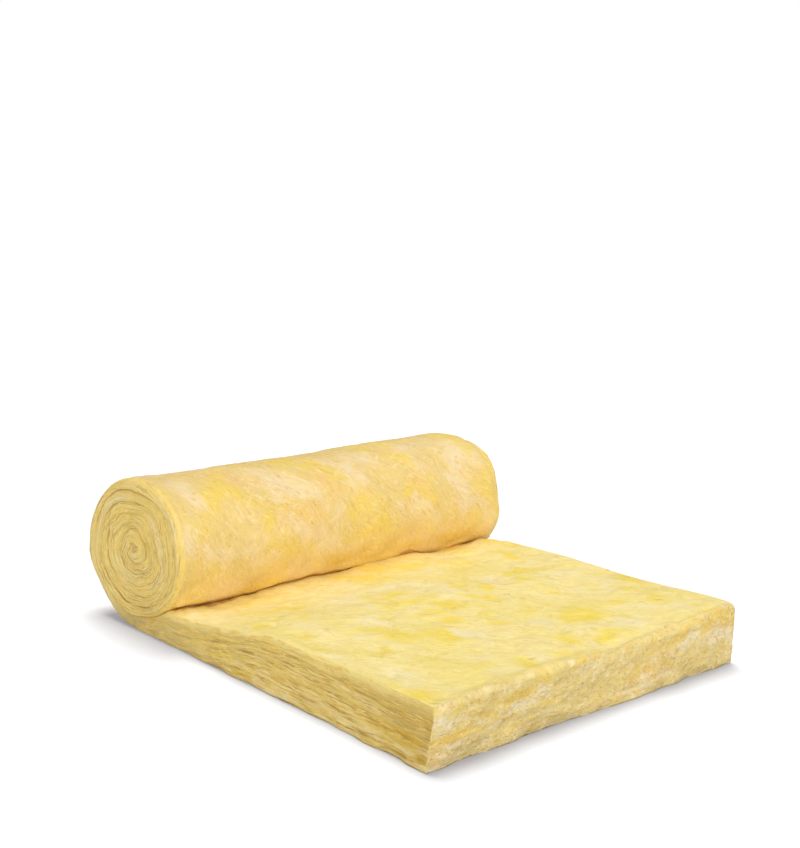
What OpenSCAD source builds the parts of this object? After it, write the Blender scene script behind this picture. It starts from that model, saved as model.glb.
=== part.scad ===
// Part-unrolled glass wool insulation roll, in millimetres.
// X runs along the roll, the cut end faces -Y, Z is up, and the floor is at zero.

/* [Blanket] */
// Width of the blanket, which is also the length of the roll
blanket_width = 1200; // [600:10:1400]
// Thickness of the blanket where it has sprung back to full loft
blanket_thickness = 150; // [110:5:180]
// Length laid flat, from the cut end to the line under the middle of the roll
flat_length = 1095; // [800:5:1600]

/* [Roll] */
// Height of the roll over its outer turn
roll_height = 420; // [380:5:480]
// Thickness of the blanket pressed between the roll and the floor
pressed_thickness = 45; // [35:1:55]
// Thickness of one wound turn, still squeezed as it was packed
turn_thickness = 29; // [24:1:36]
// Height of the crease where the roll meets the top of the flat run
crease_height = 95; // [75:1:105]
// Distance from the crease over which the blanket swells to its full thickness
swell_length = 480; // [300:10:600]

/* [Turns on the ends] */
// Width of the groove between two turns, at the end face
groove_width = 9; // [4:0.5:12]
// Depth of the groove between two turns
groove_depth = 12; // [4:1:20]
// Width of the crease that runs in under the roll
crease_width = 4; // [2:0.5:6]
// How far round the roll the crease runs in, in degrees
crease_sweep = 28; // [10:1:32]

/* [Hidden] */
$fn = 96;

// The spiral is a chain of half turns. Even ones bulge to the back and odd ones to the front,
// and each starts at the height where the one outside it ended.
function half_turn_top(k) = roll_height - floor(k / 2) * turn_thickness;
function half_turn_bottom(k) = k == 0 ? 0 : pressed_thickness + floor((k - 1) / 2) * turn_thickness;
function half_turn_radius(k) = (half_turn_top(k) - half_turn_bottom(k)) / 2;
function half_turn_centre(k) = (half_turn_top(k) + half_turn_bottom(k)) / 2;
half_turn_count = 1 + floor((roll_height - pressed_thickness) / turn_thickness);

roll_line = flat_length;
total_length = roll_line + half_turn_radius(0);
front_radius = half_turn_radius(1);
front_centre = half_turn_centre(1);
crease_reach = sqrt(pow(front_radius, 2) - pow(front_centre - crease_height, 2));
crease_line = roll_line - crease_reach;
crease_angle = 180 + atan2(front_centre - crease_height, crease_reach);
swell_steps = 12;
overshoot = 1;

// Rises from 0 to 1 with level ends
function ease(s) = s * s * (3 - 2 * s);
function swell_point(s) = [
  crease_line - s * swell_length,
  crease_height + (blanket_thickness - crease_height) * ease(s)
];

// The section is drawn with its first axis along the blanket and its second axis up,
// and this stands it up so that it extrudes along X.
module along_roll() {
  translate([0, -total_length / 2, 0]) rotate([90, 0, 90]) children();
}

// The roll inside its outer half turn
module wound_section() {
  translate([roll_line, front_centre]) circle(front_radius);
}

// The outer half turn, which comes up off the floor behind the roll and ends on top of it
module outer_turn_section() {
  r = half_turn_radius(0);
  intersection() {
    translate([roll_line, half_turn_centre(0)]) circle(r);
    translate([roll_line, 0]) square([2 * r, 2 * r]);
  }
}

// The run on the floor, which reaches in under the roll
module flat_run_section() {
  r = half_turn_radius(0);
  polygon(concat(
    [[0, 0], [0, blanket_thickness]],
    [for (i = [swell_steps:-1:0]) swell_point(i / swell_steps)],
    [[roll_line + r / 2, half_turn_centre(0)], [roll_line, 0]]
  ));
}

module across_blanket() {
  translate([0, 0, -blanket_width / 2]) linear_extrude(blanket_width) children();
}

// V-shaped groove along one half turn, cut down from the plane z = 0
module half_turn_groove(k) {
  r = half_turn_radius(k);
  half_opening = groove_width / 2 * (1 + overshoot / groove_depth);
  translate([roll_line, half_turn_centre(k), 0])
    rotate([0, 0, k % 2 == 0 ? -90 : 90])
      rotate_extrude(angle = 180)
        polygon([[r - half_opening, overshoot], [r + half_opening, overshoot], [r, -groove_depth]]);
}

// The spiral of turns on the end at z = 0, from the outer turn to the heart of the roll
module end_spiral() {
  for (k = [2:half_turn_count - 1]) half_turn_groove(k);
}

// The crease between the roll and the flat run, right across the blanket
module crease() {
  translate([roll_line, front_centre, -blanket_width])
    rotate([0, 0, crease_angle])
      rotate_extrude(angle = crease_sweep)
        translate([front_radius - crease_width / 2, 0])
          square([crease_width, 2 * blanket_width]);
}

module glass_wool_blanket() {
  color([0.95, 0.83, 0.5])
    along_roll()
      difference() {
        union() {
          across_blanket() wound_section();
          across_blanket() outer_turn_section();
          across_blanket() flat_run_section();
        }
        for (end = [0, 1])
          mirror([0, 0, end])
            translate([0, 0, blanket_width / 2]) end_spiral();
        crease();
      }
}

glass_wool_blanket();
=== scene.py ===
"""Looks of a part-unrolled glass wool roll: one soft blanket, wound at the back and laid flat in front."""
import itertools
import math
from collections import namedtuple

import bpy
import numpy as np
from mathutils import Matrix, Vector


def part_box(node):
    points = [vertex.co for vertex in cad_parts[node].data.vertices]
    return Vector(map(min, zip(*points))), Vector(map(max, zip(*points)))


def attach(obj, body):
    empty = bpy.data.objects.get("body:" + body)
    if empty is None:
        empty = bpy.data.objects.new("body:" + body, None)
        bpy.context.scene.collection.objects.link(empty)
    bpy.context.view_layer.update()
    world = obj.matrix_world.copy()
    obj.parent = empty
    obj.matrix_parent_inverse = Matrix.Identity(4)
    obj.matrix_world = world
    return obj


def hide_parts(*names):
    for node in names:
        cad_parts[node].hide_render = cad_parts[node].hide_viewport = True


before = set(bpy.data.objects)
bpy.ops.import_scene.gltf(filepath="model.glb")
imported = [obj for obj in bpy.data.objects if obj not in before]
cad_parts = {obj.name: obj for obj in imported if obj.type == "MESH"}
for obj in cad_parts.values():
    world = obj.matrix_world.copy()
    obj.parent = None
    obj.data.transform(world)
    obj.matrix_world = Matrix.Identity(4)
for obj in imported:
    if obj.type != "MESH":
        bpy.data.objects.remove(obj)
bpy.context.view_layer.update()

# The blanket, in metres. Its outer sizes come from the frame, and the rest repeat the part's source.
NODE = "glass_wool_blanket"
BODY = "root"
LOW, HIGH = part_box(NODE)
HALF_WIDTH = (HIGH.x - LOW.x) / 2
FREE_END = LOW.y
ROLL_HEIGHT = HIGH.z
ROLL_LINE = HIGH.y - ROLL_HEIGHT / 2
PRESSED = 0.045
TURN = 0.029
SWELL = 0.480
FULL_LOFT = 0.150
# Length along the blanket where it leaves the floor
JOIN = ROLL_LINE - FREE_END

# How the real blanket departs from a true one: the roll lies askew, and its right side is fuller. Here and
# below, values that differ from side to side are given for the left (-1) and the right (1).
THICKNESS = {-1: 0.148, 1: 0.153}
CREASE_HEIGHT = {-1: 0.092, 1: 0.140}
CREASE_DIP, WAVE_REACH = 0.020, 0.11
ROLL_SKEW, SKEW_START, SKEW_LENGTH = 0.028, -0.20, 0.42
ROLL_SPREAD, SPREAD_START, SPREAD_HEIGHT = 0.022, 0.03, 0.12
BACK_TUCK, TUCK_HEIGHT = 0.034, 0.18
TOP_TUCK, BACK_BULGE, BULGE_HEIGHT = 0.002, 0.008, 0.14
END_BULGE = {-1: 0.010, 1: 0.032}
END_ROUND, ROUND_LENGTH, ROUND_START, ROUND_HEIGHT = 0.018, 0.09, 0.15, 0.15
ROLL_SAG, SAG_SHARE, SAG_HEIGHT = 0.009, 0.7, 0.05
ROLL_LIFT = 0.010
CORNER_REACH, REACH_LENGTH = 0.012, 0.35
CORNER_FLARE, FLARE_LENGTH = 0.020, 0.45
SLOT_GAP = 0.002

# Each kind of unevenness: its size in metres, its bumps per metre in each direction, its seed, and how many
# layers of ever finer bumps it has
Bumps = namedtuple("Bumps", "size scale seed octaves", defaults=[1])
# A soft sway and a rougher one of the whole, in each direction
SWAY = [(Bumps(size, (5, 5, 7), 11 + n), Bumps(0.0012, (15, 15, 18), 14 + n))
        for n, size in enumerate((0.003, 0.004, 0.003))]
CREASE_WAVE, FOOT_WANDER = Bumps(0.007, (7,), 5, 3), Bumps(0.007, (8,), 95, 3)
FACE_CREASE_LUMP, ROLL_CREASE_LUMP = Bumps(0.011, (11, 9), 83, 2), Bumps(0.011, (11, 9), 86, 2)
FACE_LUMP, FACE_FINE = Bumps(0.0040, (9, 9), 71), Bumps(0.0020, (30, 30), 72, 2)
SKIN_LUMP, SKIN_FINE = Bumps(0.0018, (8, 8), 75), Bumps(0.0012, (26, 26), 76, 2)
END_LAYER, END_FINE = Bumps(0.0022, (9, 45), 77), Bumps(0.0016, (19.8, 99), 78, 2)
END_KNOB = Bumps(0.0038, (20, 16), 80)
NICKS, EDGE_WAVE = Bumps(0.006, (13,), 88, 3), Bumps(0.008, (5,), 92)
TURN_WOBBLE, WOBBLE_FINE = Bumps(0.012, (1, 11, 11), 60), Bumps(0.003, (3, 33, 33), 62)
HEART_WOBBLE = Bumps(0.008, (4, 44, 44), 64)
# The third scale of a cut layer sets one side apart from the other.
LAYER_WAVE, LAYER_STAND = Bumps(0.003, (18, 12, 5.7), 10), Bumps(0.0022, (4, 75, 7.3), 20)
LAYER_FINE = Bumps(0.0012, (13, 150, 3.1), 30)
# Bumps for each half turn: the drift of the turns, and the swing of the grooves as a share of their depth
TURN_DRIFT, GROOVE_SWING = Bumps(0.004, (1.7, 0, 5), 50), Bumps(1, (3, 0, 3), 60)
# Hollows, where bumps pass a share of their size
CRACKS, CRACK_SHARE = Bumps(0.008, (6.4, 60, 7.3), 40), 0.35
DENTS, DENT_SHARE = Bumps(0.008, (9, 26), 73), 0.45
PITS, PIT_SHARE = Bumps(0.008, (26, 38), 79), 0.45
# Seeds that set the two cut sides, the foot of the free end and the turns apart
SIDE_SEED, END_FOOT_SEED, TURN_SEED = {-1: 1, 1: 2}, 3, 5

# Where the unevenness fades: lengths in metres, a share of a turn and shares of the roll's radius
LUMP_CLEAR, LUMP_REACH, NICK_REACH, SWAY_HEIGHT = 0.03, 0.14, 0.026, 0.05
LAYER_FADE, RELIEF_FADE, RELIEF_FOOT, RIM_REACH = 0.02, 0.02, 0.03, 0.08
TURN_FADE, HEART_EDGE, HEART_FADE = 0.12, 0.7, 0.5

# The spiral, in half turns, the small hollow at its heart, and how much finer its squeezed layers are
HALF_TURNS = 14
HEART_TOP, HEART_BOTTOM = 0.230, 0.224
HEART_SINK, HEART_RISE = 0.006, 0.004
LAYER_SQUEEZE = 1.6

# Cells of the mesh
ARC_CELLS = 90
FULL_TURN = 2 * ARC_CELLS
CREASE_CELL = 68
SLOT_CELLS = 5
TOP_CELLS = 150
ACROSS_CELLS = 166
UNDER_CELLS = 10
CROWDING, CROWD_POWER = 0.10, 3
LAYERS = np.linspace(0, 1, 43)
TURN_LAYERS = np.array([0, 0.05, 0.12, 0.25, 0.4, 0.6, 0.75, 0.88, 0.95, 1])

# Stations along the spiral, and rows of the mesh
CREASE_STATION = ARC_CELLS + CREASE_CELL
SLOT_END = CREASE_STATION + SLOT_CELLS
UNDER_STATIONS = np.arange(CREASE_STATION + 1, FULL_TURN)
TOP_ROWS = TOP_CELLS + 1 + len(UNDER_STATIONS)
OPEN_ROWS = TOP_CELLS + SLOT_CELLS
END_ROWS = len(LAYERS)
ROLL_ROWS = SLOT_END + 1

# Rounded edges of the cut wool and grooves between its turns: depths and sizes in metres, and shares. An ebb
# is the middle and the swing of a groove's depth.
SHOULDER, SHOULDER_SHARE = {-1: 0.020, 1: 0.022}, 0.62
GROOVE_DEPTH, GROOVE_SHARE, HEART_SHALLOWS = 0.008, 0.13, 0.7
OUTER_GROOVE_DEPTH = 0.013
OUTER_EBB, INNER_EBB = (0.9, 0.2), (0.65, 0.5)
CONTACT_DEPTH, CONTACT_EDGE = 0.024, 0.009
TOP_EDGE_DEPTH, TOP_EDGE = 0.012, 0.028
FLOOR_EDGE_DEPTH, FLOOR_EDGE = 0.003, 0.012
FOOT_SPREAD, FOOT_FADE, FOOT_HEIGHT = 0.007, 0.45, 0.05
# Fades at the free end and where the flat run becomes the roll: a length in metres, rows and stations
JOIN_FADE, LEAN_ROWS = 0.04, 8
JOIN_CELLS, BULGE_CELLS, FOOT_CELLS, SHOULDER_CELLS = 8, 25, 22, 40

# Materials of the blanket, in the order of LOOKS
FACE, SKIN, CUT_SIDE, CUT_END, CUT_TURN = range(5)

# Camera, fitted to the photograph's 800 x 848 frame
FRAME_HEIGHT_PX = 848
FOCAL_PX = 1569.7
SENSOR = 36
CAMERA_PLACE = (-3.0286, -2.8088, 1.4544)
CAMERA_YAW, CAMERA_PITCH, CAMERA_ROLL = 46.22, 11.8, 4.6

# Multipliers and masks that scramble the place of a lattice cell
HASH_STEPS = np.array([374761393, 668265263, 1274126177])
HASH_SEED, HASH_FIRST, HASH_SECOND = 974711, 1103515245, 1274126177
WORD, HALF_WORD = 0xFFFFFFFF, 0x7FFFFFFF
# Shortest length that a vector is divided by
TINY = 1e-9

# What a cut side hands on: the vertices of its rim, their x, its vertices on the floor and its surfaces
Side = namedtuple("Side", "rim rim_x foot surfaces")


def ease(t):
    """Rises from 0 to 1 with level ends."""
    t = np.clip(t, 0, 1)
    return t * t * (3 - 2 * t)


def quarter_round(distance, size):
    """1 at an edge, falling along a quarter of an ellipse to 0 at the given size."""
    t = np.clip(distance / size, 0, 1)
    return 1 - np.sqrt(1 - (1 - t) ** 2)


def lattice(cell, seed):
    """A repeatable value from -1 to 1 for each lattice cell."""
    mixed = ((cell * HASH_STEPS).sum(-1) + seed * HASH_SEED) & WORD
    mixed = ((mixed ^ (mixed >> 13)) * HASH_FIRST) & WORD
    mixed = ((mixed ^ (mixed >> 15)) * HASH_SECOND) & WORD
    mixed ^= mixed >> 16
    return mixed / HALF_WORD - 1.0


def noise(points, seed):
    """Smooth noise from -1 to 1 with one bump per unit of length."""
    cell = np.floor(points).astype(np.int64)
    part = points - cell
    fade = part**3 * (part * (part * 6 - 15) + 10)
    total = np.zeros(points.shape[:-1])
    for corner in itertools.product((0, 1), repeat=3):
        weight = np.prod(np.where(corner, fade, 1 - fade), axis=-1)
        total += weight * lattice(cell + np.array(corner), seed)
    return total


def bumps(kind, *values, seed=0):
    """Height of one kind of unevenness at places that up to three values give."""
    scaled = [value * scale for value, scale in zip(values, kind.scale)]
    scaled += [0] * (3 - len(scaled))
    place = np.stack(np.broadcast_arrays(*scaled), -1).astype(float)
    return kind.size * sum(noise(place * 2**o, kind.seed + seed + o) / 2**o for o in range(kind.octaves))


def hollows(kind, share, *values, seed=0):
    """Depth of the hollows where a kind of unevenness passes a share of its size."""
    return np.clip(bumps(kind, *values, seed=seed) - share * kind.size, 0, kind.size)


def across(x):
    """0 at the blanket's left side, 1 at its right side."""
    return (x + HALF_WIDTH) / (2 * HALF_WIDTH)


def between(ends, x):
    """A value that goes evenly from the left side to the right."""
    return ends[-1] + (ends[1] - ends[-1]) * across(x)


def right_rise(x):
    """0 as far as the middle of the blanket's width, rising to 1 at its right side."""
    return ease(across(x) * 2 - 1)


def crease_height(x):
    """Height at which the roll comes down on the flat run: a wavy line that climbs to the right."""
    return between(CREASE_HEIGHT, x) - CREASE_DIP * right_rise(x) + bumps(CREASE_WAVE, x)


def outer_line(station, x):
    """Section (y, z) of the blanket's outer face, at a station counted along the spiral from the floor."""
    k = np.minimum(station // ARC_CELLS, HALF_TURNS + 1)
    step = station - k * ARC_CELLS
    top = np.maximum(ROLL_HEIGHT - k // 2 * TURN, HEART_TOP)
    bottom = np.where(k == 0, 0, np.minimum(PRESSED + (k - 1) // 2 * TURN, HEART_BOTTOM))
    radius, centre = (top - bottom) / 2, (top + bottom) / 2
    angle = math.pi * step / ARC_CELLS
    # On the outer front half turn the crease always falls on the same station. Further in there is no
    # crease, and the least radius only keeps the angle in range.
    least_radius = ROLL_HEIGHT / 3
    crease = np.arccos((crease_height(np.asarray(x)) - centre) / np.maximum(radius, least_radius))
    before = crease * step / CREASE_CELL
    after = crease + (math.pi - crease) * (step - CREASE_CELL) / (ARC_CELLS - CREASE_CELL)
    angle = np.where(k == 1, np.where(step <= CREASE_CELL, before, after), angle)
    side = np.where(k % 2 == 0, 1, -1)
    return ROLL_LINE + side * radius * np.sin(angle), centre - side * radius * np.cos(angle)


def top_line(x):
    """Section (y, z) of the flat run's upper face at each x, from the free end in under the roll."""
    x = np.atleast_1d(x)[None, :]
    crease_y, crease_z = outer_line(np.array([[CREASE_STATION]]), x)
    start = FREE_END + TOP_EDGE_DEPTH
    y = start + (crease_y - start) * (np.arange(TOP_CELLS + 1) / TOP_CELLS)[:, None]
    full = between(THICKNESS, x)
    low = between(CREASE_HEIGHT, x) - SLOT_GAP
    z = low + (full - low) * ease((crease_y - y) / SWELL)
    z = z + (crease_z - SLOT_GAP - low) * (1 - ease((crease_y - y) / WAVE_REACH))
    z = z + CORNER_FLARE * right_rise(x) * ease((start - y) / FLARE_LENGTH + 1)
    under_y, under_z = outer_line(UNDER_STATIONS[:, None], x)
    gap = SLOT_GAP * np.clip((SLOT_END - UNDER_STATIONS) / SLOT_CELLS, 0, 1)[:, None]
    return np.vstack([y, under_y]), np.vstack([z, under_z - gap])


def flat_columns(x):
    """Section (y, z) of the flat run on one cut side: a row for each station, a column for each layer."""
    top_y, top_z = top_line(x)
    z = top_z * LAYERS
    distance = top_z[0] * (1 - LAYERS)
    lean = TOP_EDGE_DEPTH * (1 - quarter_round(distance, TOP_EDGE))
    near_end = np.clip(1 - np.arange(TOP_ROWS) / LEAN_ROWS, 0, 1)[:, None]
    return top_y - lean * near_end, z


def wound_columns(x):
    """Section (y, z) of the wound turns on one cut side, from the floor to the heart of the roll."""
    stations = np.arange(HALF_TURNS * ARC_CELLS + 1)
    outer = np.stack(outer_line(stations, x))[..., None]
    inner = np.stack(outer_line(stations + FULL_TURN, x))[..., None]
    return outer + (inner - outer) * TURN_LAYERS


def lengths(points):
    """Length along a line of points, at each point."""
    return np.concatenate([[0], np.cumsum(np.linalg.norm(np.diff(points, axis=0), axis=-1))])


def wound_lengths():
    """Length along the blanket at each station of the spiral, from the free end."""
    stations = np.arange((HALF_TURNS + 2) * ARC_CELLS + 1)
    return JOIN + lengths(np.stack(outer_line(stations, 0.0), -1))


# Length along the blanket at the crease, on the flat run and on the roll
FLAT_CREASE = float(outer_line(np.array(CREASE_STATION), 0.0)[0]) - FREE_END
ROLL_CREASE = float(wound_lengths()[CREASE_STATION])


def back_tuck(y, z):
    """How far the roll's back stands out from a true round: tucked in by the floor, and full higher up."""
    at_back = ease((y - ROLL_LINE) / TUCK_HEIGHT)
    tuck = -BACK_TUCK * (1 - ease(z / TUCK_HEIGHT)) - TOP_TUCK * ease((z - ROLL_HEIGHT) / BULGE_HEIGHT + 1)
    tuck = tuck + BACK_BULGE * ease(z / BULGE_HEIGHT) * ease((ROLL_HEIGHT - z) / BULGE_HEIGHT)
    return at_back * tuck


def warp(points):
    """The slack of the real thing: the roll's skew, spread, sag and lift, and the sway of it all."""
    x, y, z = np.moveaxis(points, -1, 0)
    sway_x, sway_y, sway_z = (bumps(soft, x, y, z) + bumps(rough, x, y, z) for soft, rough in SWAY)
    in_roll = ease((y - SKEW_START) / SKEW_LENGTH)
    spread = ROLL_SPREAD * (y - ROLL_LINE) * ease((z - SPREAD_START) / SPREAD_HEIGHT)
    skew = in_roll * (spread - ROLL_SKEW * across(x))
    reach = CORNER_REACH * ease(1 - (x + HALF_WIDTH) / REACH_LENGTH) * ease(1 - (y - FREE_END) / REACH_LENGTH)
    # The roll's left end sags. Its right end stands higher, and is rounded off above.
    upper = in_roll * ease((z - ROUND_START) / ROUND_HEIGHT)
    rounded = upper * END_ROUND * quarter_round(HALF_WIDTH - x, ROUND_LENGTH) / (ROLL_HEIGHT - ROUND_START)
    sag = ROLL_SAG * in_roll * ease(1 - across(x) / SAG_SHARE) * ease(z / SAG_HEIGHT)
    lift = ROLL_LIFT * upper * right_rise(x)
    moved_x = x - reach + sway_x
    moved_y = y - reach + skew + back_tuck(y, z) + sway_y - rounded * (y - ROLL_LINE)
    moved_z = z + ease(z / SWAY_HEIGHT) * sway_z - rounded * (z - ROUND_START) - sag + lift
    return np.stack([moved_x, moved_y, moved_z], -1)


def layer_relief(length, height, seed):
    """How far the cut layers stand back, from the length along the blanket and the height in it."""
    height = height + bumps(LAYER_WAVE, length, height, seed, seed=seed)
    place = (length, height, seed)
    layers = bumps(LAYER_STAND, *place, seed=seed) + bumps(LAYER_FINE, *place, seed=seed)
    return layers + hollows(CRACKS, CRACK_SHARE, *place, seed=seed)


def foot_wander(along, seed):
    """How far the lower edge stands back, at each length along it."""
    return bumps(FOOT_WANDER, along, seed=seed) * ease(along / FOOT_HEIGHT)


def sample(grid, row, column):
    """Value of a grid at places between its points."""
    r = np.clip(np.floor(row).astype(int), 0, grid.shape[0] - 2)
    c = np.clip(np.floor(column).astype(int), 0, grid.shape[1] - 2)
    down, along = (row - r)[..., None], (column - c)[..., None]
    near = grid[r, c] * (1 - along) + grid[r, c + 1] * along
    far = grid[r + 1, c] * (1 - along) + grid[r + 1, c + 1] * along
    return near * (1 - down) + far * down


class Surface:
    """A grid of points on the wool. u runs down its rows and v along its columns, both in metres."""

    def __init__(self, points, normals):
        self.points = points
        self.normals = np.broadcast_to(normals, points.shape)
        self.u = lengths(points[:, points.shape[1] // 2])
        self.v = lengths(points[points.shape[0] // 2])

    def at(self, u, v):
        """Points and normals at the given places."""
        row = np.interp(u, self.u, np.arange(len(self.u)))
        column = np.interp(v, self.v, np.arange(len(self.v)))
        return sample(self.points, row, column), sample(self.normals, row, column)


class Shell:
    """Collects vertices and faces, and the place in the wool of each face's corners."""

    def __init__(self):
        self.points = []
        self.count = 0
        self.faces = []

    def add(self, points):
        """Takes an array of points and returns their numbers in the same layout."""
        numbers = self.count + np.arange(points[..., 0].size).reshape(points.shape[:-1])
        self.points.append(points.reshape(-1, 3))
        self.count += numbers.size
        return numbers

    def take(self, faces, where, material, flip):
        """Keeps faces of one material, turned over if flip says so."""
        if flip:
            faces, where = faces[:, ::-1], where[:, ::-1]
        self.faces.append((faces, where, np.full(len(faces), material)))

    def skin(self, numbers, places, material, flip=False):
        """Joins a grid of vertices with four-sided faces. material is one number, or one for each row."""
        near, far = slice(0, -1), slice(1, None)
        corners = [(near, near), (far, near), (far, far), (near, far)]
        order = corners[::-1] if flip else corners
        faces = np.stack([numbers[c] for c in order], -1)
        where = np.stack([places[c] for c in order], -2)
        rows = np.broadcast_to(np.atleast_1d(material)[:, None], faces.shape[:2])
        self.faces.append((faces.reshape(-1, 4), where.reshape(-1, 4, 3), rows.reshape(-1)))

    def zip(self, row_a, row_b, place_a, place_b, along_a, along_b, material, flip=False):
        """Joins two rows of different counts with triangles. along gives each vertex's share of its row."""
        a, b = 0, len(row_a)
        faces = []
        for _, on_b in sorted([(t, 0) for t in along_a[1:]] + [(t, 1) for t in along_b[1:]]):
            faces.append((a, b + 1, b) if on_b else (a, a + 1, b))
            a, b = a + 1 - on_b, b + on_b
        numbers, places = np.concatenate([row_a, row_b]), np.concatenate([place_a, place_b])
        self.take(numbers[np.array(faces)], places[np.array(faces)], material, flip)

    def fan(self, ring, places, centre, centre_place, material, flip=False):
        """Closes a ring of vertices with triangles round a centre."""
        following = np.roll(ring, -1)
        faces = np.stack([ring, following, np.full_like(ring, centre)], -1)
        where = np.stack([places, np.roll(places, -1, 0), np.broadcast_to(centre_place, places.shape)], -2)
        self.take(faces, where, material, flip)

    def mesh(self, name, materials):
        """The smooth mesh, with each corner's place in the wool."""
        faces, places, slots = zip(*self.faces)
        sizes = np.concatenate([np.full(len(part), part.shape[1]) for part in faces])
        corners = np.concatenate([part.reshape(-1) for part in faces])
        mesh = array_mesh(name, np.concatenate(self.points), corners, sizes, materials)
        mesh.shade_smooth()
        mesh.polygons.foreach_set("material_index", np.concatenate(slots).astype(np.int32))
        places = np.concatenate([part.reshape(-1) for part in places])
        wool = mesh.attributes.new("wool", "FLOAT_VECTOR", "CORNER")
        wool.data.foreach_set("vector", places.astype(np.float32))
        return mesh


def array_mesh(name, points, corners, sizes, materials):
    """A mesh from points, the vertex number of each face corner and each face's corner count."""
    mesh = bpy.data.meshes.new(name)
    mesh.vertices.add(len(points))
    mesh.vertices.foreach_set("co", points.astype(np.float32).reshape(-1))
    mesh.loops.add(len(corners))
    mesh.loops.foreach_set("vertex_index", corners.astype(np.int32))
    mesh.polygons.add(len(sizes))
    mesh.polygons.foreach_set("loop_start", (np.cumsum(sizes) - sizes).astype(np.int32))
    mesh.update(calc_edges=True)
    for material in materials:
        mesh.materials.append(material)
    mesh.shade_flat()
    return mesh


def groove_depth(stations, seed):
    """Depth of the groove between two turns, which comes and goes along the spiral."""
    outer = stations < FULL_TURN + CREASE_STATION
    swing = bumps(GROOVE_SWING, stations / ARC_CELLS, 0, seed, seed=seed)
    ebb = np.where(outer, OUTER_EBB[0] + OUTER_EBB[1] * swing, INNER_EBB[0] + INNER_EBB[1] * swing)
    shallow = 1 - HEART_SHALLOWS * stations / ((HALF_TURNS + 2) * ARC_CELLS)
    depth = np.where(outer, OUTER_GROOVE_DEPTH, GROOVE_DEPTH * shallow) * ebb
    # Where the roll lies on the flat run, the groove between them is deeper.
    contact = ease((stations - CREASE_STATION) / SLOT_CELLS + 1)
    contact = contact * ease((FULL_TURN - stations) / ARC_CELLS + 1)
    return (depth + (CONTACT_DEPTH - depth) * contact)[:, None]


def shoulder(side):
    """How far the roll's outer edge is rounded, from the floor up to the crease."""
    climb = ease(np.arange(CREASE_STATION) / SHOULDER_CELLS)[:, None]
    size = FLOOR_EDGE_DEPTH + (SHOULDER[side] - FLOOR_EDGE_DEPTH) * climb
    return size * quarter_round(TURN_LAYERS, SHOULDER_SHARE)


def side_grid(side, stand, y, z, along, height):
    """Points that stand back from one cut side, and their places in the wool."""
    x = side * HALF_WIDTH
    points = np.stack([x - side * stand, y, z], -1)
    return points, np.stack(np.broadcast_arrays(along, x, height), -1)


def flat_side(side, seed):
    """Points of the flat run on one cut side before they are warped, and their places in the wool."""
    y, z = flat_columns(side * HALF_WIDTH)
    along = y - FREE_END
    height = np.broadcast_to(FULL_LOFT * LAYERS, y.shape)
    below_top = z[:, -1:] - z
    under = ease((np.arange(TOP_ROWS) - TOP_CELLS) / SLOT_CELLS + 1)[:, None]
    edge_depth = TOP_EDGE_DEPTH + (CONTACT_DEPTH - TOP_EDGE_DEPTH) * under
    edge_size = TOP_EDGE + (CONTACT_EDGE - TOP_EDGE) * under
    stand = edge_depth * quarter_round(below_top, edge_size)
    stand = stand + FLOOR_EDGE_DEPTH * quarter_round(z, FLOOR_EDGE)
    inside = ease(z / LAYER_FADE) * ease(below_top / LAYER_FADE)
    before_roll = ease((ROLL_LINE - y) / JOIN_FADE)
    stand = stand + before_roll * inside * layer_relief(along, height, seed)
    foot = ease((ROLL_LINE - y) / FOOT_FADE) * ease(1 - z / z[:, -1:])
    wander = before_roll * foot_wander(along, seed) * (1 - ease(z / FOOT_HEIGHT))
    return side_grid(side, stand - FOOT_SPREAD * foot + wander, y, z, along, height)


def wound_side(side, seed):
    """Points of the wound turns on one cut side before they are warped, and their places in the wool."""
    y, z = wound_columns(side * HALF_WIDTH)
    stations = np.arange(len(y))
    row = stations[:, None]
    along = np.broadcast_to(wound_lengths()[:len(y), None], y.shape)
    # The cut side's tall layers gather into a turn.
    spread = 1 - ease(row / FOOT_CELLS)
    height = TURN_LAYERS * (TURN + (FULL_LOFT - TURN) * spread)
    inner_depth = groove_depth(stations + FULL_TURN, seed)
    # Up to the crease the outer edge is free, and only its shoulder rounds it.
    outer_depth = groove_depth(stations, seed) * (row > CREASE_STATION - SLOT_CELLS)
    stand = inner_depth * quarter_round(1 - TURN_LAYERS, GROOVE_SHARE)
    stand = np.maximum(stand, outer_depth * quarter_round(TURN_LAYERS, GROOVE_SHARE))
    stand[:CREASE_STATION] = np.maximum(stand[:CREASE_STATION], shoulder(side))
    drift = bumps(TURN_DRIFT, row / ARC_CELLS, 0, seed, seed=seed)
    stand = stand + ease(row / BULGE_CELLS) * (drift - END_BULGE[side])
    edge = np.minimum(TURN_LAYERS, 1 - TURN_LAYERS)
    beyond = ease(row / JOIN_CELLS) * ease(edge / TURN_FADE)
    stand = stand + beyond * layer_relief(along, height * LAYER_SQUEEZE, seed + TURN_SEED)
    return side_grid(side, stand, y, z, along, height)


def wobble(points):
    """Shifts the inner turns a little, and leaves the outer one where it is."""
    x, y, z = np.moveaxis(points, -1, 0)
    reach = np.hypot(y - ROLL_LINE, z - (ROLL_HEIGHT + PRESSED) / 2) / (ROLL_HEIGHT / 2)
    free = np.clip(1 - reach, 0, 1) ** 0.5
    heart = ease((HEART_EDGE - reach) / HEART_FADE)
    moved = points.copy()
    for axis in (1, 2):
        shift, fine, crumple = (bumps(kind, x, y, z, seed=axis)
                                for kind in (TURN_WOBBLE, WOBBLE_FINE, HEART_WOBBLE))
        moved[..., axis] += free * (shift + fine + heart * crumple)
    return moved


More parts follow.
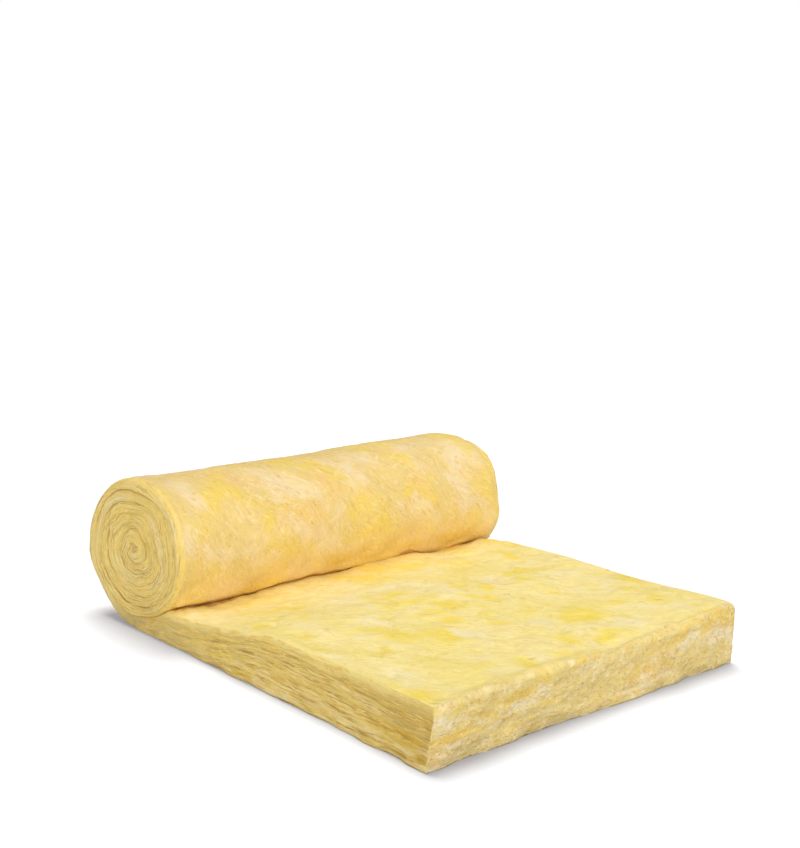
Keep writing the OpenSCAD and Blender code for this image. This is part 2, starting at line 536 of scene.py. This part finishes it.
def add_side(shell, side):
    """Builds one cut side, and returns what the rest of the mesh takes from it."""
    flat, flat_place = flat_side(side, SIDE_SEED[side])
    wound, wound_place = wound_side(side, SIDE_SEED[side])
    flip = side < 0
    last = len(wound) - 1
    # A turn's inner edge is the outer edge of the turn two half turns on.
    wound_numbers = np.empty(wound.shape[:2], int)
    wound_numbers[:, :-1] = shell.add(warp(wobble(wound[:, :-1])))
    heart = shell.add(warp(wobble(wound[-FULL_TURN:, -1])))
    edge = np.concatenate([wound_numbers[:, 0], heart])
    wound_numbers[:, -1] = edge[FULL_TURN:]

    flat_numbers = np.empty(flat.shape[:2], int)
    flat_numbers[:, :-1] = shell.add(warp(flat[:, :-1]))
    flat_numbers[:OPEN_ROWS, -1] = shell.add(warp(flat[:OPEN_ROWS, -1]))
    flat_numbers[OPEN_ROWS:, -1] = edge[SLOT_END:FULL_TURN]

    shell.skin(flat_numbers, flat_place, CUT_SIDE, flip)
    materials = np.where(np.arange(last) < FOOT_CELLS, CUT_SIDE, CUT_TURN)
    shell.skin(wound_numbers, wound_place, materials, flip)
    shell.zip(flat_numbers[-1], wound_numbers[0], flat_place[-1], wound_place[0],
              LAYERS, TURN_LAYERS, CUT_SIDE, not flip)
    ring = np.concatenate([edge[last:], wound_numbers[-1, -2:0:-1]])
    ring_places = np.broadcast_to(wound_place[-1, 0], (len(ring), 3))
    centre = wound[-1, 0] + np.array([-side * HEART_SINK, 0, HEART_RISE])
    shell.fan(ring, ring_places, shell.add(warp(centre[None]))[0], wound_place[-1, 0], CUT_TURN, flip)
    rim = np.concatenate([flat_numbers[0], flat_numbers[1:OPEN_ROWS, -1], edge[SLOT_END::-1]])
    rim_x = np.concatenate([flat[0, :, 0], flat[1:OPEN_ROWS, -1, 0], wound[SLOT_END::-1, 0, 0]])
    outward = np.array([side, 0.0, 0.0])
    surfaces = [Surface(warp(grid), outward) for grid in (flat, wobble(wound))]
    return Side(rim, rim_x, flat_numbers[:, 0], surfaces)


def across_stations():
    """Places across the blanket, closer together near its two sides."""
    t = np.linspace(-1, 1, ACROSS_CELLS + 1)
    return HALF_WIDTH * (t + CROWDING * np.sin(math.pi * t) / math.pi * np.abs(t) ** CROWD_POWER)


def hull_grid(x):
    """Points of the hull, which is the free end, the upper face and the roll's outside, and their places."""
    top_y, top_z = top_line(x)
    layers = LAYERS[:, None]
    end_y = FREE_END + TOP_EDGE_DEPTH * quarter_round(top_z[0] * (1 - layers), TOP_EDGE)
    end_z = top_z[0] * layers
    top_y, top_z = top_y[1:OPEN_ROWS], top_z[1:OPEN_ROWS]
    stations = np.arange(SLOT_END, -1, -1)[:, None]
    roll_y, roll_z = outer_line(stations, x[None, :])
    y, z = np.vstack([end_y, top_y, roll_y]), np.vstack([end_z, top_z, roll_z])
    s = np.vstack([0 * end_y, top_y - FREE_END, 0 * roll_y + wound_lengths()[stations]])
    t = np.vstack([0 * end_y + FULL_LOFT * layers, 0 * top_y + FULL_LOFT, 0 * roll_y])
    x = np.broadcast_to(x, y.shape)
    return np.stack([x, y, z], -1), np.stack([s, x, t], -1)


def grid_normals(points):
    """Outward normals of a grid whose rows climb the free end and whose columns run to the right."""
    normal = np.cross(np.gradient(points, axis=1), np.gradient(points, axis=0))
    return normal / np.maximum(np.linalg.norm(normal, axis=-1, keepdims=True), TINY)


def crease_lumps(s, x, crease_s, kind):
    """Lumps on either side of the crease, and none in the slot itself."""
    away = np.abs(s - crease_s)
    return ease(away / LUMP_CLEAR) * (1 - ease(away / LUMP_REACH)) * bumps(kind, s, x)


def face_relief(s, x):
    """Lumps and dents of the upper face."""
    lumps = bumps(FACE_LUMP, s, x) + bumps(FACE_FINE, s, x)
    dents = hollows(DENTS, DENT_SHARE, s + x, s - x)
    return lumps - dents + crease_lumps(s, x, FLAT_CREASE, FACE_CREASE_LUMP)


def skin_relief(s, x):
    """Lumps of the roll's outside."""
    lumps = bumps(SKIN_LUMP, s, x) + bumps(SKIN_FINE, s, x)
    return lumps + crease_lumps(s, x, ROLL_CREASE, ROLL_CREASE_LUMP)


def end_relief(x, t):
    """Layers, pits and knobs of the free end."""
    layers = bumps(END_LAYER, x, t) + bumps(END_FINE, x, t)
    return layers - hollows(PITS, PIT_SHARE, x, t) + bumps(END_KNOB, x, t)


def hull_relief(places):
    """Height of the small lumps and hollows on each of the hull's faces."""
    s, x, t = np.moveaxis(places, -1, 0)
    relief = face_relief(s, x)
    relief[-ROLL_ROWS:] = skin_relief(s[-ROLL_ROWS:], x[-ROLL_ROWS:])
    relief[:END_ROWS] = end_relief(x[:END_ROWS], t[:END_ROWS])
    # Nicks in the upper edge of the free end run over from one face to the other.
    away = np.vstack([t[END_ROWS - 1] - t[:END_ROWS], s[END_ROWS:] - s[END_ROWS]])
    nicks = bumps(NICKS, x) + bumps(EDGE_WAVE, x)
    return nicks + (relief - nicks) * ease(away / NICK_REACH)


def build_hull(x, sides):
    """The hull's points, with their relief and drawn to the rims of the cut sides, and their places."""
    points, places = hull_grid(x)
    for side, last in zip(sides, (0, -1)):
        near = ease(1 - np.abs(x - x[last]) / RIM_REACH)
        points[..., 0] += (side.rim_x - x[last])[:, None] * near
    points = warp(points)
    inside = ease((HALF_WIDTH - np.abs(x)) / RELIEF_FADE)
    relief = hull_relief(places) * inside * ease(points[..., 2] / RELIEF_FOOT)
    points += grid_normals(points) * relief[..., None]
    end = points[:END_ROWS]
    foot = foot_wander(x + HALF_WIDTH, END_FOOT_SEED) * inside
    end[..., 1] += foot * (1 - ease(end[..., 2] / FOOT_HEIGHT))
    return points, places


def build_blanket(materials):
    """The whole blanket as one closed mesh, and the surfaces of it that strands lie on."""
    shell = Shell()
    x = across_stations()
    sides = [add_side(shell, side) for side in (-1, 1)]
    points, places = build_hull(x, sides)
    numbers = np.empty(points.shape[:2], int)
    numbers[:, 1:-1] = shell.add(points[:, 1:-1])
    numbers[:, 0], numbers[:, -1] = sides[0].rim, sides[1].rim
    rows = np.full(len(points) - 1, FACE)
    rows[:END_ROWS - 1] = CUT_END
    rows[-ROLL_ROWS:] = SKIN
    shell.skin(numbers, places, rows, True)
    add_underside(shell, numbers, places, sides)
    normals = grid_normals(points)
    bands = {
        "end": slice(0, END_ROWS),
        "face": slice(END_ROWS, -ROLL_ROWS),
        "roll": slice(1 - ROLL_ROWS, None),
    }
    surfaces = {name: [Surface(points[band], normals[band])] for name, band in bands.items()}
    surfaces["side"] = [side.surfaces[0] for side in sides]
    surfaces["turns"] = [side.surfaces[1] for side in sides]
    return shell.mesh("blanket", materials), surfaces


def add_underside(shell, numbers, places, sides):
    """The face on the floor, with fewer vertices across."""
    left, right = (side.foot[1:] for side in sides)
    share = np.linspace(0, 1, UNDER_CELLS + 1)
    known = np.concatenate(shell.points)
    ends = [known[foot][:, None] for foot in (left, right)]
    rows = ends[0] + (ends[1] - ends[0]) * share[None, 1:-1, None]
    under = np.empty((len(left), UNDER_CELLS + 1), int)
    under[:, 0], under[:, -1] = left, right
    under[:, 1:-1] = shell.add(rows)
    place = np.concatenate([ends[0], rows, ends[1]], 1)[..., [1, 0, 2]]
    shell.skin(under, place, SKIN)
    spread = across(places[0, :, 1])
    shell.zip(numbers[0], under[0], places[0], place[0], spread, share, SKIN, True)
    shell.zip(under[-1], numbers[-1], place[-1], places[-1], share, spread, SKIN, True)


class Nodes:
    """Short names for building the nodes of a material or a world."""

    def __init__(self, owner):
        self.owner = owner
        owner.use_nodes = True
        self.tree = owner.node_tree
        self.tree.nodes.clear()

    def add(self, kind, inputs, **settings):
        node = self.tree.nodes.new(kind)
        for key, value in settings.items():
            setattr(node, key, value)
        for key, value in inputs.items():
            if isinstance(value, bpy.types.NodeSocket):
                self.tree.links.new(value, node.inputs[key])
            else:
                node.inputs[key].default_value = value
        return node

    def noise(self, vector, stretch, scale, detail=3.0, distortion=0.0, turn=0.0):
        turned = self.add("ShaderNodeVectorRotate", {"Vector": vector, "Angle": math.radians(turn)},
                          rotation_type="Z_AXIS")
        placed = self.add("ShaderNodeVectorMath", {0: turned.outputs[0], 1: stretch}, operation="MULTIPLY")
        inputs = {"Vector": placed.outputs[0], "Scale": scale, "Detail": detail, "Distortion": distortion}
        return self.add("ShaderNodeTexNoise", inputs).outputs["Fac"]

    def swirl(self, vector, scale, amount):
        """Pushes the coordinates about, so that streaks bend."""
        pattern = self.add("ShaderNodeTexNoise", {"Vector": vector, "Scale": scale, "Detail": 2.0})
        middle = self.add("ShaderNodeVectorMath", {0: pattern.outputs["Color"], 1: (0.5, 0.5, 0.5)},
                          operation="SUBTRACT")
        push = self.add("ShaderNodeVectorMath", {0: middle.outputs[0], 1: amount}, operation="MULTIPLY")
        return self.add("ShaderNodeVectorMath", {0: vector, 1: push.outputs[0]}).outputs[0]

    def ramp(self, value, low, high, start=0.0, end=1.0):
        inputs = {"Value": value, "From Min": low, "From Max": high, "To Min": start, "To Max": end}
        node = self.add("ShaderNodeMapRange", inputs, interpolation_type="SMOOTHSTEP")
        return node.outputs["Result"]

    def finish(self, kind, inputs):
        """Adds the last shader and returns the material."""
        shader = self.add(kind, inputs)
        self.add("ShaderNodeOutputMaterial", {"Surface": shader.outputs[0]})
        return self.owner

    def mix(self, factor, first, second):
        node = self.add("ShaderNodeMix", {0: factor, 6: first, 7: second}, data_type="RGBA")
        return node.outputs[2]


def srgb(red, green, blue):
    """A linear colour from the 0 to 255 values that a screen shows."""
    shown = np.array([red, green, blue]) / 255
    linear = np.where(shown <= 0.04045, shown / 12.92, ((shown + 0.055) / 1.055) ** 2.4)
    return (*linear.tolist(), 1.0)


# Colour layers of each face of the wool: stretch along (length, width, height), turn in degrees, scale in
# bumps per metre, detail, the noise range over which the layer comes in, its strength and its colour.
# Zones are tints that come in along the length (0) or the height (2), between two places in metres, with a
# strength, a colour and, where patches break the zone up, the stretch and the scale of those.
# A swirl is a scale and how far it pushes the streaks. A bump is a stretch, a turn, a scale and a depth.
LOOKS = {}
LOOKS["face"] = dict(
    base=(254, 234, 158),
    swirl=(6, (0.08, 0.08, 0.0)),
    layers=[
        ((1, 1.2, 1), 45, 4, 3, 0.42, 0.68, 0.60, (250, 227, 122)),
        ((1, 1.2, 1), 45, 6, 3, 0.47, 0.74, 0.70, (254, 240, 196)),
        ((1, 1.4, 1), 45, 9, 4, 0.49, 0.67, 0.90, (251, 223, 88)),
        ((1, 2.0, 1), 42, 20, 5, 0.62, 0.73, 0.60, (214, 182, 88)),
        ((1, 4.0, 1), 48, 32, 5, 0.50, 0.76, 0.40, (254, 240, 184)),
        ((1, 3.0, 1), 40, 64, 4, 0.54, 0.74, 0.45, (228, 200, 112)),
    ],
    # Painted bounce light and shade: the first zone turns the upper face a warmer orange towards the crease.
    zones=[(0, FLAT_CREASE - 0.14, FLAT_CREASE, 0.45, (250, 212, 92)),
           # Painted shade: a dark brown line along the crease, where the roll comes down on the flat run.
           (0, FLAT_CREASE - 0.005, FLAT_CREASE, 0.80, (214, 150, 58)),
           (0, 0.060, 0.010, 0.40, (244, 219, 132))],
    bumps=[((1, 3, 1), 45, 40, 0.008), ((1, 3, 1), 45, 160, 0.004)],
)
LOOKS["skin"] = dict(
    base=(236, 206, 130),
    swirl=(6, (0.09, 0.09, 0.0)),
    layers=[
        ((1, 1, 1), 0, 6, 4, 0.47, 0.64, 0.85, (243, 211, 96)),
        ((1, 1, 1), 20, 8, 4, 0.48, 0.68, 0.60, (242, 200, 128)),
        ((1, 1.4, 1), -40, 6.5, 4, 0.47, 0.66, 0.85, (244, 219, 172)),
        ((1, 3.4, 1), -46, 26, 5, 0.54, 0.72, 0.75, (250, 229, 180)),
        ((1, 3.0, 1), -30, 30, 4, 0.54, 0.72, 0.55, (214, 172, 90)),
        ((1, 2.5, 1), -42, 80, 4, 0.52, 0.74, 0.40, (246, 221, 158)),
    ],
    # Painted light: a brighter, warmer band on the lower roll, which stands in for light bounced up from the
    # flat run into the shade by the crease.
    zones=[(0, ROLL_CREASE - 0.20, ROLL_CREASE, 0.65, (254, 214, 104)),
           (0, ROLL_CREASE - 0.15, ROLL_CREASE - 0.03, 0.75, (246, 210, 150), ((1, 1, 1), 5)),
           # Painted shade: a dark brown line along the crease.
           (0, ROLL_CREASE - 0.006, ROLL_CREASE, 0.85, (210, 146, 54))],
    bumps=[((1, 3, 1), -40, 36, 0.008), ((1, 4, 1), -40, 140, 0.004)],
)
LOOKS["cut_side"] = dict(
    base=(231, 204, 119),
    swirl=(16, (0.0, 0.0, 0.012)),
    layers=[
        ((1, 1, 3), 0, 6, 4, 0.50, 0.66, 0.80, (230, 194, 66)),
        ((1, 1, 10), 0, 7, 4, 0.46, 0.68, 0.55, (208, 172, 84)),
        ((1, 1, 14), 0, 11, 5, 0.50, 0.70, 0.65, (248, 228, 172)),
        ((1, 1, 20), 0, 11, 5, 0.50, 0.66, 0.70, (174, 134, 50)),
        ((1, 1, 24), 0, 16, 5, 0.54, 0.66, 0.75, (146, 108, 36)),
    ],
    zones=[(2, 0.090, 0.125, 0.35, (218, 186, 100)),
           (0, JOIN - 0.42, JOIN + 0.05, 0.80, (231, 207, 137)),
           (2, 0.118, 0.150, 0.80, (253, 233, 152)),
           (0, 0.300, 0.0, 0.45, (176, 136, 54)),
           (2, 0.070, 0.015, 0.70, (250, 231, 172), ((1, 1, 9), 11))],
    bumps=[((1, 1, 12), 0, 14, 0.008), ((1, 1, 5), 0, 80, 0.005)],
)
LOOKS["cut_end"] = dict(
    base=(229, 206, 138),
    swirl=(8, (0.0, 0.03, 0.04)),
    layers=[
        ((1, 1, 2.4), 0, 6, 4, 0.46, 0.64, 0.80, (237, 204, 90)),
        ((1, 1, 3.0), 0, 6, 4, 0.47, 0.68, 0.85, (234, 221, 188)),
        ((1, 1, 4.0), 0, 14, 5, 0.52, 0.74, 0.50, (208, 174, 98)),
        ((1, 1, 2.2), 0, 6, 5, 0.54, 0.70, 0.60, (222, 182, 88)),
        ((1, 1, 1.6), 0, 34, 4, 0.52, 0.70, 0.55, (250, 236, 196)),
        ((1, 1, 1.6), 0, 60, 4, 0.54, 0.70, 0.55, (206, 160, 76)),
        ((1, 1, 1.5), 0, 130, 4, 0.58, 0.70, 0.65, (172, 122, 46)),
    ],
    zones=[(2, 0.105, 0.150, 0.65, (244, 221, 138), ((1, 1, 1), 9))],
    bumps=[((1, 1, 3), 0, 30, 0.006), ((1, 1, 1.5), 0, 120, 0.008)],
)
LOOKS["cut_turn"] = dict(
    base=(242, 212, 124),
    swirl=(18, (0.0, 0.0, 0.008)),
    layers=[
        ((1, 1, 1), 0, 4, 3, 0.46, 0.68, 0.60, (244, 226, 168)),
        ((1, 1, 16), 0, 8, 4, 0.46, 0.70, 0.50, (218, 184, 94)),
        ((1, 1, 16), 0, 12, 5, 0.52, 0.70, 0.60, (251, 234, 178)),
        ((1, 1, 20), 0, 12, 5, 0.55, 0.66, 0.65, (178, 138, 56)),
    ],
    zones=[(2, 0.010, 0.002, 0.35, (240, 206, 104)),
           # Painted shade: a dark brown line at each turn's inner edge, in the groove between the turns.
           (2, 0.026, 0.030, 0.75, (172, 132, 50)),
           (0, JOIN + 0.45, JOIN + 0.15, 0.80, (231, 207, 137))],
    bumps=[((1, 1, 16), 0, 18, 0.010), ((1, 1, 6), 0, 80, 0.006)],
)

WOOL_GLOSS = srgb(253, 240, 200)
LAYER_DISTORTION = 0.3
PATCH_RANGE = (0.45, 0.62)
GRAIN_DETAIL, GRAIN_DISTORTION, GRAIN_STRENGTH = 5.0, 0.8, 0.6
GRAIN_RANGE = (0.3, 0.7)
WOOL_ROUGHNESS, STRAND_ROUGHNESS = (0.82, 0.98), (0.7, 0.9)
MOTTLE_SCALE, MOTTLE_RANGE, MOTTLE_SHIFT = 60, (0.35, 0.65), 0.2


def wool_colour(nodes, wool, look):
    """The base colour under its layers, and the zones over them."""
    colour = srgb(*look["base"])
    for stretch, turn, scale, detail, low, high, strength, tint in look["layers"]:
        pattern = nodes.noise(wool, stretch, scale, detail, LAYER_DISTORTION, turn)
        colour = nodes.mix(nodes.ramp(pattern, low, high, 0.0, strength), colour, srgb(*tint))
    place = nodes.add("ShaderNodeSeparateXYZ", {"Vector": wool}).outputs
    for axis, start, end, strength, tint, *patches in look["zones"]:
        factor = nodes.ramp(place[axis], start, end, 0.0, strength)
        for stretch, scale in patches:
            patch = nodes.ramp(nodes.noise(wool, stretch, scale), *PATCH_RANGE)
            factor = nodes.add("ShaderNodeMath", {0: factor, 1: patch}, operation="MULTIPLY").outputs[0]
        colour = nodes.mix(factor, colour, srgb(*tint))
    return colour


def wool_grain(nodes, wool, look):
    """The normal that the bumps give, and the pattern of the last of them."""
    inputs = {"Strength": GRAIN_STRENGTH}
    for stretch, turn, scale, depth in look["bumps"]:
        grain = nodes.noise(wool, stretch, scale, GRAIN_DETAIL, GRAIN_DISTORTION, turn)
        inputs.update({"Height": grain, "Distance": depth})
        inputs["Normal"] = nodes.add("ShaderNodeBump", inputs).outputs["Normal"]
    return inputs["Normal"], grain


def wool_material(name):
    """Matt, fibrous wool in uneven colours."""
    look = LOOKS[name]
    nodes = Nodes(bpy.data.materials.new("glass_wool_" + name))
    wool = nodes.add("ShaderNodeAttribute", {}, attribute_name="wool").outputs["Vector"]
    wool = nodes.swirl(wool, *look["swirl"])
    colour = wool_colour(nodes, wool, look)
    normal, grain = wool_grain(nodes, wool, look)
    inputs = {
        "Base Color": colour,
        "Roughness": nodes.ramp(grain, *GRAIN_RANGE, *WOOL_ROUGHNESS),
        "Normal": normal,
        "Specular IOR Level": 0.15,
        "Specular Tint": WOOL_GLOSS,
        "Sheen Weight": 0.15,
        "Sheen Roughness": 0.6,
        "Sheen Tint": WOOL_GLOSS,
    }
    return nodes.finish("ShaderNodeBsdfPrincipled", inputs)


# Shape of a strand, and how tufts and strands vary, mostly as shares of the values in their table
STRAND_POINTS = 6
STRAND_SHARES = np.linspace(-0.5, 0.5, STRAND_POINTS)
# The point of a strand that its tuft places
ANCHOR = slice(2, 3)
RING = np.radians([90, 210, 330])
STRAND_FLATNESS = 0.15
END_MARGIN, SIDE_MARGIN = 0.01, 0.03
TUFT_DRIFT, TUFT_SCATTER, TUFT_SLIP = Bumps(1, (6, 6), 91), 0.3, 0.4
BEND_FRAY, SHORTEST = 0.25, 0.5
LIFT_RANGE, STAND_RANGE = (0.2, 1), (0.3, 1)
TUFT_TINT, STRAND_TINT = 0.7, 0.3
STRAND_SEED, STRAND_SEED_STEP = 300, 100
# Strands on each face: tufts, and strands in each. heading goes from u towards v, wander is how much it
# varies and fray how much within a tuft, in degrees. bend is per metre. loose is the share of strands that
# stand up at one end, by stand. pale and deep are the colours that they range over.
Strands = namedtuple("Strands", "tufts strands length width heading wander fray bend lift loose stand radius "
                                "pale deep")
STRANDS = {
    "roll": Strands(520, 10, (0.02, 0.06), 0.006, 40, 50, 10, 12, 0.0007, 0.05, 0.005, 0.00042,
                    (252, 230, 172), (247, 210, 110)),
    "face": Strands(460, 8, (0.02, 0.06), 0.007, 135, 50, 12, 10, 0.0008, 0.05, 0.005, 0.00042,
                    (254, 240, 178), (252, 228, 112)),
    "side": Strands(440, 6, (0.02, 0.06), 0.003, 0, 10, 5, 6, 0.0009, 0.12, 0.006, 0.00040,
                    (250, 226, 144), (228, 186, 80)),
    "turns": Strands(360, 6, (0.01, 0.035), 0.0025, 0, 12, 8, 8, 0.0008, 0.08, 0.004, 0.00038,
                     (250, 226, 144), (228, 190, 88)),
    "end": Strands(480, 6, (0.01, 0.04), 0.004, 90, 30, 14, 12, 0.0009, 0.12, 0.005, 0.00040,
                   (248, 230, 160), (226, 186, 86)),
}


def tuft_lines(surface, style, random):
    """Places (u, v) along each strand: gentle arcs in tufts, with a heading for each tuft."""
    tufts, shape = style.tufts, (style.tufts, style.strands)
    u = random.uniform(END_MARGIN, surface.u[-1] - END_MARGIN, tufts)
    v = random.uniform(SIDE_MARGIN * surface.v[-1], (1 - SIDE_MARGIN) * surface.v[-1], tufts)
    drift = bumps(TUFT_DRIFT, u, v) + random.normal(0, TUFT_SCATTER, tufts)
    tuft_heading = np.radians(style.heading + style.wander * drift)
    heading = tuft_heading[:, None] + np.radians(random.normal(0, style.fray, shape))
    bend = random.normal(0, style.bend, (tufts, 1)) + random.normal(0, BEND_FRAY * style.bend, shape)
    length = random.uniform(*style.length, (tufts, 1)) * random.uniform(SHORTEST, 1, shape)
    aside = random.normal(0, style.width / 2, shape)
    ahead = random.uniform(-TUFT_SLIP, TUFT_SLIP, shape) * length
    angle = heading[..., None] + (bend * length)[..., None] * STRAND_SHARES
    step = (length / (STRAND_POINTS - 1))[..., None]
    along, over = np.cumsum(np.cos(angle) * step, -1), np.cumsum(np.sin(angle) * step, -1)
    start_u = u[:, None] + ahead * np.cos(heading) - aside * np.sin(heading)
    start_v = v[:, None] + ahead * np.sin(heading) + aside * np.cos(heading)
    along += start_u[..., None] - along[..., ANCHOR]
    over += start_v[..., None] - over[..., ANCHOR]
    return along, over


def strand_paths(surface, style, random):
    """Points and normals along each strand, and each strand's place between the two colours."""
    shape = (style.tufts, style.strands)
    along, over = tuft_lines(surface, style, random)
    points, normals = surface.at(np.clip(along, 0, surface.u[-1]), np.clip(over, 0, surface.v[-1]))
    arch = random.uniform(*LIFT_RANGE, shape)[..., None] * style.lift * (1 - 4 * STRAND_SHARES**2)
    loose = (random.random(shape) < style.loose) * random.uniform(*STAND_RANGE, shape) * style.stand
    lift = arch - style.radius / 2 + loose[..., None] * (STRAND_SHARES + 0.5) ** 2
    points = points + normals * lift[..., None]
    points[..., 2] = np.maximum(points[..., 2], style.radius)
    tint = random.uniform(0, 1, (style.tufts, 1)) * TUFT_TINT + random.uniform(0, STRAND_TINT, shape)
    flat = (-1, STRAND_POINTS, 3)
    return points.reshape(flat), normals.reshape(flat), np.clip(tint, 0, 1).reshape(-1)


def strand_mesh(name, surfaces, style, seed):
    """Fine tapered strands, joined in one mesh."""
    random = np.random.default_rng(seed)
    laid = [strand_paths(surface, style, random) for surface in surfaces]
    paths, normals, tint = (np.concatenate(part) for part in zip(*laid))
    tangent = np.gradient(paths, axis=1)
    tangent /= np.maximum(np.linalg.norm(tangent, axis=-1, keepdims=True), TINY)
    aside = np.cross(tangent, normals)
    up = np.cross(aside, tangent)
    taper = np.sin(np.linspace(0, math.pi, STRAND_POINTS))[1:-1] ** 0.5 * style.radius
    wide, high = np.cos(RING)[:, None], STRAND_FLATNESS * np.sin(RING)[:, None]
    offsets = wide * aside[:, 1:-1, None] + high * up[:, 1:-1, None]
    rings = paths[:, 1:-1, None] + offsets * taper[:, None, None]
    points = np.concatenate([paths[:, :1], rings.reshape(len(paths), -1, 3), paths[:, -1:]], 1)
    faces = strand_faces()
    corners = (faces[None] + points.shape[1] * np.arange(len(paths))[:, None, None]).reshape(-1)
    material = strand_material(name, style.pale, style.deep)
    sizes = np.full(len(corners) // 3, 3)
    mesh = array_mesh("strands_" + name, points.reshape(-1, 3), corners, sizes, [material])
    shade = mesh.attributes.new("tint", "FLOAT", "POINT")
    shade.data.foreach_set("value", np.repeat(tint, points.shape[1]).astype(np.float32))
    return mesh


def strand_faces():
    """Triangles of one strand: a tip, rings of three vertices and a second tip."""
    rings = STRAND_POINTS - 2
    last = 1 + 3 * rings
    faces = []
    for a, b in ((0, 1), (1, 2), (2, 0)):
        faces.append((0, 1 + a, 1 + b))
        for r in range(rings - 1):
            low, high = 1 + 3 * r, 4 + 3 * r
            faces += [(low + a, high + a, high + b), (low + a, high + b, low + b)]
        faces.append((last - 3 + a, last, last - 3 + b))
    return np.array(faces)


def strand_material(name, pale, deep):
    """Fibres that range between two colours, a little mottled along their length."""
    nodes = Nodes(bpy.data.materials.new("glass_wool_strand_" + name))
    tint = nodes.add("ShaderNodeAttribute", {}, attribute_name="tint").outputs["Fac"]
    place = nodes.add("ShaderNodeTexCoord", {}).outputs["Object"]
    mottle = nodes.noise(place, (1, 1, 1), MOTTLE_SCALE)
    shift = nodes.ramp(mottle, *MOTTLE_RANGE, -MOTTLE_SHIFT, MOTTLE_SHIFT)
    level = nodes.add("ShaderNodeMath", {0: tint, 1: shift}, operation="ADD", use_clamp=True).outputs[0]
    inputs = {
        "Base Color": nodes.mix(level, srgb(*pale), srgb(*deep)),
        "Roughness": nodes.ramp(mottle, *GRAIN_RANGE, *STRAND_ROUGHNESS),
        "Specular IOR Level": 0.2,
    }
    return nodes.finish("ShaderNodeBsdfPrincipled", inputs)


def add_object(name, data):
    """Puts a mesh, a lamp or a camera in the scene."""
    added = bpy.data.objects.new(name, data)
    bpy.context.collection.objects.link(added)
    return added


def add_piece(name, mesh):
    """A piece of the object, which rides on its one body."""
    piece = add_object(name, mesh)
    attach(piece, BODY)
    return piece


# The floor, and the level of the light from all round
FLOOR_SIZE = 8.0
FLOOR_GLOW = (0.215, 0.22, 0.26)
FLOOR_COLOUR = (0.43, 0.43, 0.42)
WORLD_LIGHT = 0.47
# Each lamp: its direction from the object, its spread in degrees and its level
LAMPS = {
    "key": ((0.25, -0.20, 0.94), 40, 0.41),
    "fill": ((-0.68, -0.65, 0.33), 60, 0.52),
}
FLOOR_LAMP = ((0.11, 0.27, 0.95), 34, 1.76)


def seen_directly(nodes):
    """1 for rays that show a background: those of the camera, of gloss and of glass."""
    rays = nodes.add("ShaderNodeLightPath", {}).outputs
    total = rays["Is Camera Ray"]
    for name in ("Is Glossy Ray", "Is Transmission Ray"):
        total = nodes.add("ShaderNodeMath", {0: total, 1: rays[name]}, operation="MAXIMUM").outputs[0]
    return total


def add_floor():
    """A pale floor that shows white where no shadow falls."""
    mesh = bpy.data.meshes.new("floor")
    signs = ((-1, -1), (1, -1), (1, 1), (-1, 1))
    mesh.from_pydata([(a * FLOOR_SIZE, b * FLOOR_SIZE, 0) for a, b in signs], [], [(0, 1, 2, 3)])
    floor = add_object("floor", mesh)
    nodes = Nodes(bpy.data.materials.new("pale_floor"))
    matt = nodes.add("ShaderNodeBsdfDiffuse", {"Color": (*FLOOR_COLOUR, 1)})
    direct = seen_directly(nodes)
    glow = nodes.add("ShaderNodeEmission", {"Color": (*FLOOR_GLOW, 1), "Strength": direct})
    mesh.materials.append(nodes.finish("ShaderNodeAddShader", {0: matt.outputs[0], 1: glow.outputs[0]}))
    return floor


def add_lamps(floor):
    """Lamps for the object, which pass the floor by, and one for the floor alone."""
    groups = {}
    for state in ("INCLUDE", "EXCLUDE"):
        groups[state] = bpy.data.collections.new("floor_" + state.lower())
        groups[state].objects.link(floor)
        groups[state].collection_objects[0].light_linking.link_state = state
    for name, lamp in LAMPS.items():
        add_lamp(name, *lamp).light_linking.receiver_collection = groups["EXCLUDE"]
    add_lamp("floor_lamp", *FLOOR_LAMP).light_linking.receiver_collection = groups["INCLUDE"]


def add_world():
    """Soft light from all round, and plain white to look at."""
    world = bpy.data.worlds.new("studio")
    bpy.context.scene.world = world
    nodes = Nodes(world)
    inputs = {"Value": seen_directly(nodes), "To Min": WORLD_LIGHT, "To Max": 1.0}
    level = nodes.add("ShaderNodeMapRange", inputs).outputs["Result"]
    background = nodes.add("ShaderNodeBackground", {"Color": (1, 1, 1, 1), "Strength": level})
    nodes.add("ShaderNodeOutputWorld", {"Surface": background.outputs[0]})


def add_lamp(name, towards, spread, level):
    """A broad soft lamp. level is the light that it gives a white face turned straight to it."""
    data = bpy.data.lights.new(name, "SUN")
    data.angle = math.radians(spread)
    data.energy = level * math.pi
    lamp = add_object(name, data)
    lamp.rotation_euler = Vector(towards).to_track_quat("Z", "Y").to_euler()
    return lamp


def add_camera():
    """The photograph's view."""
    data = bpy.data.cameras.new("camera")
    data.sensor_width = SENSOR
    data.lens = FOCAL_PX / FRAME_HEIGHT_PX * SENSOR
    place = Matrix.Translation(CAMERA_PLACE)
    for angle, axis in ((-CAMERA_YAW, "Z"), (90 - CAMERA_PITCH, "X"), (CAMERA_ROLL, "Z")):
        place = place @ Matrix.Rotation(math.radians(angle), 4, axis)
    camera = add_object("camera", data)
    camera.matrix_world = place
    bpy.context.scene.camera = camera


def build():
    """The whole scene: camera, light, floor, blanket and strands."""
    add_camera()
    add_world()
    add_lamps(add_floor())
    bpy.context.scene.view_settings.view_transform = "Standard"
    mesh, surfaces = build_blanket([wool_material(name) for name in LOOKS])
    blanket = add_piece("blanket", mesh)
    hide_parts(NODE)
    for n, (name, style) in enumerate(STRANDS.items()):
        seed = STRAND_SEED + STRAND_SEED_STEP * n
        add_piece("strands_" + name, strand_mesh(name, surfaces[name], style, seed))


build()
